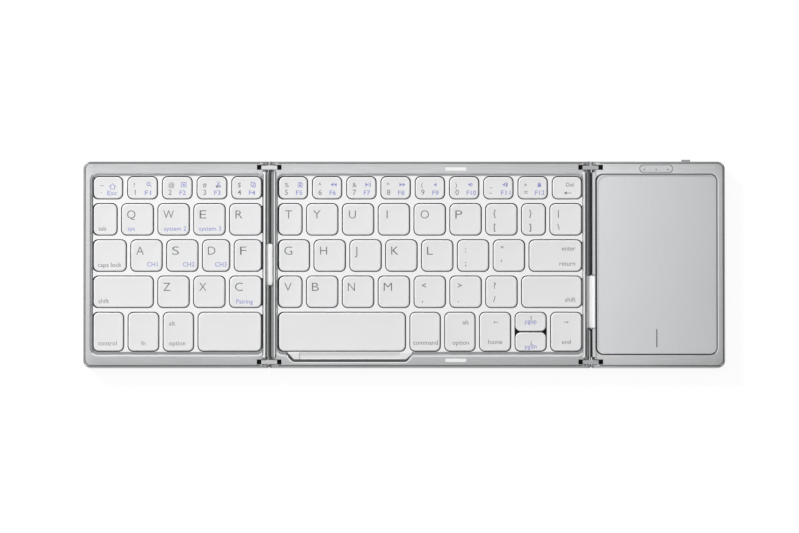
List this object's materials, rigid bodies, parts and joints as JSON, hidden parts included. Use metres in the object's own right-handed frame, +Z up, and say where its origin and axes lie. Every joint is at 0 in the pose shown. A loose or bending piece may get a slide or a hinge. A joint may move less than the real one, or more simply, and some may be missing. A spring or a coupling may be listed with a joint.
{
  "type": "folding keyboard",
  "caption": "Folding keyboard with a touchpad in its right wing: both wings fold flat onto the centre panel on hinge links.",
  "frame": {"origin": "under the middle of the opened keyboard, on the surface its feet stand on", "axes": "+X along the width to the touchpad, +Y to the rear edge, +Z up from the keys"},
  "size_m": [0.3046, 0.099, 0.0076],
  "materials": {
    "frame_metal": "brushed",
    "cover_metal": "satin",
    "rail_metal": "satin",
    "link_metal": "polished",
    "pin_steel": "ground",
    "bar_metal": "polished",
    "key_plastic": "fine matt",
    "deck_plastic": "satin",
    "pad_surface": "brushed",
    "sleeve": "matt",
    "foot_rubber": "matt",
    "screw_steel": "machined",
    "base_steel": "rolled",
    "film": "satin",
    "dome_rubber": "matt",
    "scissor_plastic": "moulded",
    "magnet": "plated",
    "board": "lacquered",
    "cell": "foil",
    "socket_metal": "plated",
    "window_plastic": "satin",
    "knob_plastic": "moulded"
  },
  "bodies": {
    "centre": {"centre_bottom_cover": "cover_metal", "centre_top_frame": "frame_metal", "centre_hinge_rails": "rail_metal", "centre_key_deck": "deck_plastic", "centre_base_plate": "base_steel", "centre_membrane": "film", "centre_domes": "dome_rubber", "centre_scissors": "scissor_plastic", "centre_feet": "foot_rubber", "centre_screws": "screw_steel", "catch_bars": "bar_metal"},
    "left_link": {"left_links": "link_metal", "left_hinge_pins": "pin_steel", "left_ribbon": "sleeve"},
    "left_wing": {"left_bottom_cover": "cover_metal", "left_top_frame": "frame_metal", "left_hinge_rail": "rail_metal", "left_key_deck": "deck_plastic", "left_base_plate": "base_steel", "left_membrane": "film", "left_domes": "dome_rubber", "left_scissors": "scissor_plastic", "left_feet": "foot_rubber", "left_screws": "screw_steel", "left_magnets": "magnet"},
    "right_link": {"right_links": "link_metal", "right_hinge_pins": "pin_steel", "right_ribbon": "sleeve"},
    "right_wing": {"right_bottom_cover": "cover_metal", "right_top_frame": "frame_metal", "right_hinge_rail": "rail_metal", "main_board": "board", "battery": "cell", "charging_socket": "socket_metal", "indicator_window": "window_plastic", "right_feet": "foot_rubber", "right_screws": "screw_steel", "right_magnets": "magnet"},
    "touchpad": {"touchpad_plate": "pad_surface", "touchpad_board": "board"},
    "switch": {"switch_knob": "knob_plastic"},
    "key_escape": {"key_escape": "key_plastic"},
    "key_left_numbers": {"key_left_numbers": "key_plastic"},
    "key_tab": {"key_tab": "key_plastic"},
    "key_left_top_row": {"key_left_top_row": "key_plastic"},
    "key_caps_lock": {"key_caps_lock": "key_plastic"},
    "key_left_home_row": {"key_left_home_row": "key_plastic"},
    "key_left_shift": {"key_left_shift": "key_plastic"},
    "key_left_bottom_row": {"key_left_bottom_row": "key_plastic"},
    "key_left_modifiers": {"key_left_modifiers": "key_plastic"},
    "key_left_space": {"key_left_space": "key_plastic"},
    "key_centre_numbers": {"key_centre_numbers": "key_plastic"},
    "key_centre_top_row": {"key_centre_top_row": "key_plastic"},
    "key_centre_home_row": {"key_centre_home_row": "key_plastic"},
    "key_enter": {"key_enter": "key_plastic"},
    "key_centre_bottom_row": {"key_centre_bottom_row": "key_plastic"},
    "key_right_shift": {"key_right_shift": "key_plastic"},
    "key_centre_space": {"key_centre_space": "key_plastic"},
    "key_centre_modifiers": {"key_centre_modifiers": "key_plastic"},
    "key_arrows": {"key_arrows": "key_plastic"}
  },
  "joints": [
    {"name": "click_touchpad", "type": "hinge", "parent": "right_wing", "child": "touchpad", "pos_m": [0.1199, 0.0418, 0.00635], "axis": [1, 0, 0], "range_deg": [0, 0.3], "stiffness_Nm_per_rad": 2, "springref_deg": -1.15},
    {"name": "fold_left_base", "type": "hinge", "parent": "centre", "child": "left_link", "pos_m": [-0.06015, -0.0005, 0.0041], "axis": [0, 1, 0], "range_deg": [0, 90], "deforming": ["left_ribbon"]},
    {"name": "fold_left_wing", "type": "hinge", "parent": "left_link", "child": "left_wing", "pos_m": [-0.06785, -0.0005, 0.0041], "axis": [0, 1, 0], "range_deg": [0, 90], "deforming": ["left_ribbon"]},
    {"name": "fold_right_base", "type": "hinge", "parent": "centre", "child": "right_link", "pos_m": [0.08465, -0.0005, 0.0041], "axis": [0, -1, 0], "range_deg": [0, 90], "deforming": ["right_ribbon"]},
    {"name": "fold_right_wing", "type": "hinge", "parent": "right_link", "child": "right_wing", "pos_m": [0.09235, -0.0005, 0.0041], "axis": [0, -1, 0], "range_deg": [0, 90], "deforming": ["right_ribbon"]},
    {"name": "press_escape", "type": "slide", "parent": "left_wing", "child": "key_escape", "axis": [0, 0, -1], "range_m": [0, 0.0012], "stiffness_N_per_m": 200, "springref_m": -0.0015, "deforming": ["left_domes", "left_scissors"]},
    {"name": "press_left_numbers", "type": "slide", "parent": "left_wing", "child": "key_left_numbers", "axis": [0, 0, -1], "range_m": [0, 0.0012], "stiffness_N_per_m": 200, "springref_m": -0.0015, "deforming": ["left_domes", "left_scissors"]},
    {"name": "press_tab", "type": "slide", "parent": "left_wing", "child": "key_tab", "axis": [0, 0, -1], "range_m": [0, 0.0012], "stiffness_N_per_m": 200, "springref_m": -0.0015, "deforming": ["left_domes", "left_scissors"]},
    {"name": "press_left_top_row", "type": "slide", "parent": "left_wing", "child": "key_left_top_row", "axis": [0, 0, -1], "range_m": [0, 0.0012], "stiffness_N_per_m": 200, "springref_m": -0.0015, "deforming": ["left_domes", "left_scissors"]},
    {"name": "press_caps_lock", "type": "slide", "parent": "left_wing", "child": "key_caps_lock", "axis": [0, 0, -1], "range_m": [0, 0.0012], "stiffness_N_per_m": 200, "springref_m": -0.0015, "deforming": ["left_domes", "left_scissors"]},
    {"name": "press_left_home_row", "type": "slide", "parent": "left_wing", "child": "key_left_home_row", "axis": [0, 0, -1], "range_m": [0, 0.0012], "stiffness_N_per_m": 200, "springref_m": -0.0015, "deforming": ["left_domes", "left_scissors"]},
    {"name": "press_left_shift", "type": "slide", "parent": "left_wing", "child": "key_left_shift", "axis": [0, 0, -1], "range_m": [0, 0.0012], "stiffness_N_per_m": 200, "springref_m": -0.0015, "deforming": ["left_domes", "left_scissors"]},
    {"name": "press_left_bottom_row", "type": "slide", "parent": "left_wing", "child": "key_left_bottom_row", "axis": [0, 0, -1], "range_m": [0, 0.0012], "stiffness_N_per_m": 200, "springref_m": -0.0015, "deforming": ["left_domes", "left_scissors"]},
    {"name": "press_left_modifiers", "type": "slide", "parent": "left_wing", "child": "key_left_modifiers", "axis": [0, 0, -1], "range_m": [0, 0.0012], "stiffness_N_per_m": 200, "springref_m": -0.0015, "deforming": ["left_domes", "left_scissors"]},
    {"name": "press_left_space", "type": "slide", "parent": "left_wing", "child": "key_left_space", "axis": [0, 0, -1], "range_m": [0, 0.0012], "stiffness_N_per_m": 200, "springref_m": -0.0015, "deforming": ["left_domes", "left_scissors"]},
    {"name": "press_centre_numbers", "type": "slide", "parent": "centre", "child": "key_centre_numbers", "axis": [0, 0, -1], "range_m": [0, 0.0012], "stiffness_N_per_m": 200, "springref_m": -0.0015, "deforming": ["centre_domes", "centre_scissors"]},
    {"name": "press_centre_top_row", "type": "slide", "parent": "centre", "child": "key_centre_top_row", "axis": [0, 0, -1], "range_m": [0, 0.0012], "stiffness_N_per_m": 200, "springref_m": -0.0015, "deforming": ["centre_domes", "centre_scissors"]},
    {"name": "press_centre_home_row", "type": "slide", "parent": "centre", "child": "key_centre_home_row", "axis": [0, 0, -1], "range_m": [0, 0.0012], "stiffness_N_per_m": 200, "springref_m": -0.0015, "deforming": ["centre_domes", "centre_scissors"]},
    {"name": "press_enter", "type": "slide", "parent": "centre", "child": "key_enter", "axis": [0, 0, -1], "range_m": [0, 0.0012], "stiffness_N_per_m": 200, "springref_m": -0.0015, "deforming": ["centre_domes", "centre_scissors"]},
    {"name": "press_centre_bottom_row", "type": "slide", "parent": "centre", "child": "key_centre_bottom_row", "axis": [0, 0, -1], "range_m": [0, 0.0012], "stiffness_N_per_m": 200, "springref_m": -0.0015, "deforming": ["centre_domes", "centre_scissors"]},
    {"name": "press_right_shift", "type": "slide", "parent": "centre", "child": "key_right_shift", "axis": [0, 0, -1], "range_m": [0, 0.0012], "stiffness_N_per_m": 200, "springref_m": -0.0015, "deforming": ["centre_domes", "centre_scissors"]},
    {"name": "press_centre_space", "type": "slide", "parent": "centre", "child": "key_centre_space", "axis": [0, 0, -1], "range_m": [0, 0.0012], "stiffness_N_per_m": 200, "springref_m": -0.0015, "deforming": ["centre_domes", "centre_scissors"]},
    {"name": "press_centre_modifiers", "type": "slide", "parent": "centre", "child": "key_centre_modifiers", "axis": [0, 0, -1], "range_m": [0, 0.0012], "stiffness_N_per_m": 200, "springref_m": -0.0015, "deforming": ["centre_domes", "centre_scissors"]},
    {"name": "press_arrows", "type": "slide", "parent": "centre", "child": "key_arrows", "axis": [0, 0, -1], "range_m": [0, 0.0012], "stiffness_N_per_m": 200, "springref_m": -0.0015, "deforming": ["centre_domes", "centre_scissors"]},
    {"name": "slide_switch", "type": "slide", "parent": "right_wing", "child": "switch", "axis": [1, 0, 0], "range_m": [0, 0.002]}
  ]
}
